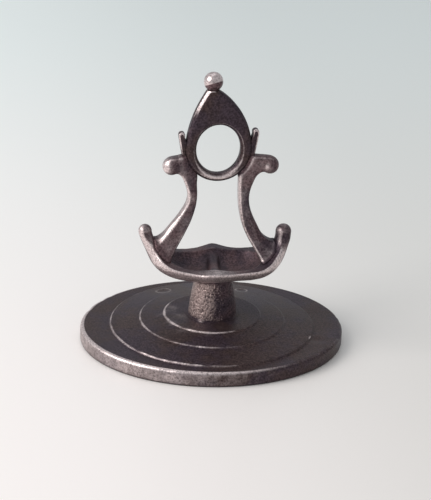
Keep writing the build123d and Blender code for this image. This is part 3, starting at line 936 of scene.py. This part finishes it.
class SEAL_OT_cradle(Operator):
    """Build the boat-shaped cradle"""

    bl_idname = "seal.cradle"
    bl_label = "Cradle"

    def execute(self, context):
        material = silver_material(
            "cradle_silver", wear=1.4, haze=0.1, relief=0.045 * MM, warm=finish().red_tarnish
        )
        worn_piece(
            "cradle_worn", "cradle", material, shape().cradle_grid, 21,
            dict.fromkeys(("left_arm", "right_arm", "neck"), JOINT_REACH), extra=self.lip_wear_and_highlights,
        )
        return {"FINISHED"}

    def lip_wear_and_highlights(self, points, facing):
        """Fingers keep the front of the rim clean, more so on the left, and rub the horns; painted
        highlights on the ridge, on faces turned up inside, on the far left side and along the horns.
        """
        across, depth, height = points.T
        front = soft_step(facing @ (0, -1.0, -0.25), 0.3, 0.8) * soft_step(-depth, *LIP_DEPTH)
        leftward = soft_step(-across, *LIP_LEFT)
        low = 1 - soft_step(height, *LIP_TOP) * (1 - 0.2 * leftward)
        horn = soft_step(abs(across), *HORN_SIDE) * soft_step(height, *HORN_FOOT)
        band = 1.6 * front * low * (0.45 + 0.55 * leftward) * (1 - 0.8 * horn)
        # Painted highlight on the far left faces that look towards the window
        side = 0.12 * soft_step(-facing[:, 0], 0.3, 0.8) * soft_step(-across, *FAR_LEFT)
        # Painted highlight: faces turned up inside are lighter, most on the ridge towards the front
        frontward = soft_step(-depth, *RIDGE_DEPTH)
        ridge = bell(across, (0.9 + 3.0 * frontward) * MM) * frontward
        inside = soft_step(facing[:, 2], 0.2, 0.8) * (0.05 + 0.22 * ridge)
        # Horns: a little rubbing, and a painted highlight along their faces towards the window
        crease = horn * (0.09 + 0.45 * soft_step(facing @ (-0.75, -0.65, 0.1), 0.75, 1.0))
        return band + side + inside + crease


class SEAL_OT_arms(Operator):
    """Build both scroll arms"""

    bl_idname = "seal.arms"
    bl_label = "Scroll arms"

    def execute(self, context):
        material = silver_material(
            "arm_silver", wear=1.6, haze=0.2, relief=0.05 * MM, warm=finish().red_tarnish
        )
        for side, seed in (("left", 31), ("right", 33)):
            worn_piece(
                f"{side}_arm_worn", f"{side}_arm", material, shape().arm_grid, seed,
                {"cradle": FOOT_JOINT, "crest_ring": CREST_JOINTS[side]}, braze=BRAZE,
                extra=self.worn_and_lit_edge, reach=shape().arm_rounding, crisp_below=CRISP_BELOW,
            )
        return {"FINISHED"}

    def worn_and_lit_edge(self, points, facing):
        """Fingers rub the left front of both arms, with a painted highlight on faces towards the window and
        painted shade on faces to the right.
        """
        edge = 0.45 * soft_step(facing @ (-0.8, -0.6, 0.1), 0.75, 1.0)
        front = 0.04 * soft_step(-facing[:, 1], 0.4, 0.9)
        # Painted light: lighter on faces towards the window on the left, darker on faces to the right
        leftward = soft_step(-facing[:, 0], -0.2, 0.7)
        rightward = soft_step(facing[:, 0], 0.2, 0.8)
        return edge + front + 0.22 * leftward - 0.2 * rightward


class SEAL_OT_crest(Operator):
    """Build the crest, its leaves and the ball"""

    bl_idname = "seal.crest"
    bl_label = "Crest, leaves and ball"

    def execute(self, context):
        size = shape()
        material = silver_material("crest_silver", wear=1.6, relief=0.04 * MM)
        worn_piece(
            "crest_worn", "crest_ring", material, size.arm_grid, 41,
            dict.fromkeys(("left_arm", "right_arm", "left_leaf", "right_leaf"), JOINT_REACH),
            extra=self.crest_light_and_wear,
        )
        for side, seed in (("left", 43), ("right", 45)):
            worn_piece(
                f"{side}_leaf_worn", f"{side}_leaf", material, size.leaf_grid, seed,
                dict.fromkeys(("crest_ring", f"{side}_arm"), JOINT_REACH),
            )
        ball = silver_material("ball_silver", haze=0.05, warm=finish().red_tarnish, dullness=0.6)
        worn_piece(
            "ball_worn", "ball_finial", ball, size.leaf_grid, 47,
            {"crest_ring": JOINT_REACH}, extra=self.shaded_underside,
        )
        return {"FINISHED"}

    def crest_light_and_wear(self, points, facing):
        """Painted highlight on the left bevel near the tip and painted shade on its right edge; bright on
        the hole's lip, lighter low on the ring, darker on the upper front faces.
        """
        across, _, height = points.T
        # Near the tip: painted highlight on faces towards the window, painted shade on faces to the right
        climb = soft_step(height, *CREST_TIP)
        bevel = soft_step(-facing[:, 0], 0.2, 0.6) * soft_step(-facing[:, 1], 0.1, 0.4)
        brown = soft_step(facing[:, 0], 0.1, 0.6)
        hole_height = node_box("crest_ring")[0][2] + shape().ring_radius
        half_width, half_height = np.array(shape().hole_size) / 2
        outside = (np.hypot(across / half_width, (height - hole_height) / half_height) - 1) * half_width
        lip = 0.22 * bell(outside - HOLE_LIP, HOLE_LIP_REACH) * soft_step(-facing[:, 1], 0.3, 0.7)
        ring = 0.15 * soft_step(-height, *CREST_FOOT)
        face = -0.25 * soft_step(-facing[:, 1], 0.9, 0.99) * soft_step(height, *CREST_FACE)
        return climb * (0.6 * bevel - 0.25 * brown) + ring + face + lip

    def shaded_underside(self, points, facing):
        """The ball is darkened underneath as painted shade."""
        # Painted shade on faces turned down, away from the lamps
        return 0.7 - 2.0 * soft_step(facing @ (0.25, -0.35, -1.0), 0.15, 0.5)


class SEAL_OT_peg(Operator):
    """Finish the hidden peg"""

    bl_idname = "seal.peg"
    bl_label = "Hidden peg"

    def execute(self, context):
        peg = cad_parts["stem_peg"]
        peg.data.materials.clear()
        peg.data.materials.append(silver_material("peg_silver", wear=0.4, haze=0.3))
        return {"FINISHED"}


class SEAL_OT_stage(Operator):
    """Set the table, the light and the camera"""

    bl_idname = "seal.stage"
    bl_label = "Table, light and camera"

    def execute(self, context):
        context.scene.view_settings.view_transform = "Standard"
        self.add_table()
        self.add_room()
        self.add_lamp("window", *WINDOW, stage().window_power)
        self.add_lamp("ceiling", *CEILING, stage().ceiling_power)
        self.add_camera(context.scene)
        return {"FINISHED"}

    def add_table(self):
        """A wide pale table, with a painted cooler tone far away and painted shade away from the window."""
        mesh = bpy.data.meshes.new("table")
        near, far = -TABLE_REACH, TABLE_REACH
        corners = [(near, near, 0), (far, near, 0), (far, far, 0), (near, far, 0)]
        mesh.from_pydata(corners, [], [(0, 1, 2, 3)])
        table = bpy.data.objects.new("table", mesh)
        bpy.context.scene.collection.objects.link(table)
        mesh.materials.append(self.table_material())

    def table_material(self):
        """Pale satin paint, with a painted glow of its own, stronger towards the window, where it is seen or
        mirrored.
        """
        material = bpy.data.materials.new("table_top")
        material.use_nodes = True
        make = Nodes(material.node_tree)
        shader = material.node_tree.nodes["Principled BSDF"]
        place = make.add("ShaderNodeTexCoord").outputs["Object"]
        spot = make.add("ShaderNodeSeparateXYZ", {"Vector": place}).outputs
        # Painted light falloff: cooler far away and darker away from the window
        away = make.spread(spot["Y"], *TABLE_DEPTH)
        aside = make.spread(spot["X"], *TABLE_SIDE)
        front = make.mix(aside, colour(stage().near_table), colour(stage().shaded_table))
        tone = make.mix(away, front, colour(stage().far_table))
        path = make.add("ShaderNodeLightPath").outputs
        seen = make.math("MAXIMUM", path["Is Camera Ray"], path["Is Glossy Ray"])
        seen = make.math("MAXIMUM", seen, path["Is Transmission Ray"])
        # Painted glow, stronger on the window's side
        glow = make.math("MULTIPLY", seen, make.spread(spot["X"], *GLOW_SIDE, *GLOW))
        make.put(tone, shader.inputs["Base Color"])
        make.put(tone, shader.inputs["Emission Color"])
        make.put(glow, shader.inputs["Emission Strength"])
        shader.inputs["Roughness"].default_value = 0.3
        shader.inputs["Specular IOR Level"].default_value = 0.3
        return material

    def add_room(self):
        """Even light from all round."""
        world = bpy.data.worlds.new("room")
        world.use_nodes = True
        light = world.node_tree.nodes["Background"]
        light.inputs["Color"].default_value = colour(stage().sky)
        light.inputs["Strength"].default_value = stage().sky_strength
        bpy.context.scene.world = world

    def add_lamp(self, name, place, size, hue, power):
        """A soft rectangular lamp that faces the seal."""
        data = bpy.data.lights.new(name, "AREA")
        data.shape = "RECTANGLE"
        data.size, data.size_y = size
        data.energy = power
        data.color = hue
        lamp = bpy.data.objects.new(name, data)
        lamp.location = place
        lamp.rotation_euler = (LAMP_AIM - Vector(place)).to_track_quat("-Z", "Y").to_euler()
        bpy.context.scene.collection.objects.link(lamp)

    def add_camera(self, scene):
        """A camera that circles the handle's middle, then pans, tilts and rolls."""
        view = stage()
        out = Vector((np.sin(view.view_azimuth), -np.cos(view.view_azimuth), np.tan(view.view_elevation)))
        out.normalize()
        place = Vector((0, 0, view.view_height)) + out * view.view_distance
        right = (-out).cross(Vector((0, 0, 1))).normalized()
        up = right.cross(-out)
        ahead = (-out - right * np.tan(view.view_pan) + up * np.tan(view.view_tilt)).normalized()
        level = ahead.cross(Vector((0, 0, 1))).normalized()
        upright = level.cross(ahead)
        turned = level * np.cos(view.view_roll) + upright * np.sin(view.view_roll)
        data = bpy.data.cameras.new("camera")
        data.lens = view.lens
        data.sensor_width = SENSOR_WIDTH
        data.clip_start = NEAREST_SEEN
        camera = bpy.data.objects.new("camera", data)
        axes = Matrix((turned, ahead.cross(turned) * -1, -ahead)).transposed()
        camera.matrix_world = Matrix.Translation(place) @ axes.to_4x4()
        scene.collection.objects.link(camera)
        scene.camera = camera


class SEAL_PT_sidebar(Panel):
    """Lists the seal's pieces and its settings"""

    bl_idname = "SEAL_PT_sidebar"
    bl_label = "Hand Seal"
    bl_space_type = "VIEW_3D"
    bl_region_type = "UI"
    bl_category = "Hand Seal"

    def draw(self, context):
        for operator in PIECES:
            self.layout.operator(operator.bl_idname)
        for settings in (shape(), finish(), stage()):
            box = self.layout.box()
            for key in settings.bl_rna.properties.keys():
                if key not in ("rna_type", "name"):
                    box.prop(settings, key)


PIECES = (
    SEAL_OT_plate,
    SEAL_OT_neck,
    SEAL_OT_cradle,
    SEAL_OT_arms,
    SEAL_OT_crest,
    SEAL_OT_peg,
    SEAL_OT_stage,
)
SETTINGS = (
    ("seal_shape", SealShapeSettings),
    ("seal_finish", SealFinishSettings),
    ("seal_stage", SealStageSettings),
)


def register():
    for key, settings in SETTINGS:
        bpy.utils.register_class(settings)
        setattr(bpy.types.Scene, key, PointerProperty(type=settings))
    for operator in PIECES:
        bpy.utils.register_class(operator)
    bpy.utils.register_class(SEAL_PT_sidebar)


def unregister():
    bpy.utils.unregister_class(SEAL_PT_sidebar)
    for operator in reversed(PIECES):
        bpy.utils.unregister_class(operator)
    for key, settings in reversed(SETTINGS):
        delattr(bpy.types.Scene, key)
        bpy.utils.unregister_class(settings)


def main():
    register()
    bpy.ops.seal.plate()
    bpy.ops.seal.neck()
    bpy.ops.seal.cradle()
    bpy.ops.seal.arms()
    bpy.ops.seal.crest()
    bpy.ops.seal.peg()
    bpy.ops.seal.stage()


if __name__ == "__main__":
    main()
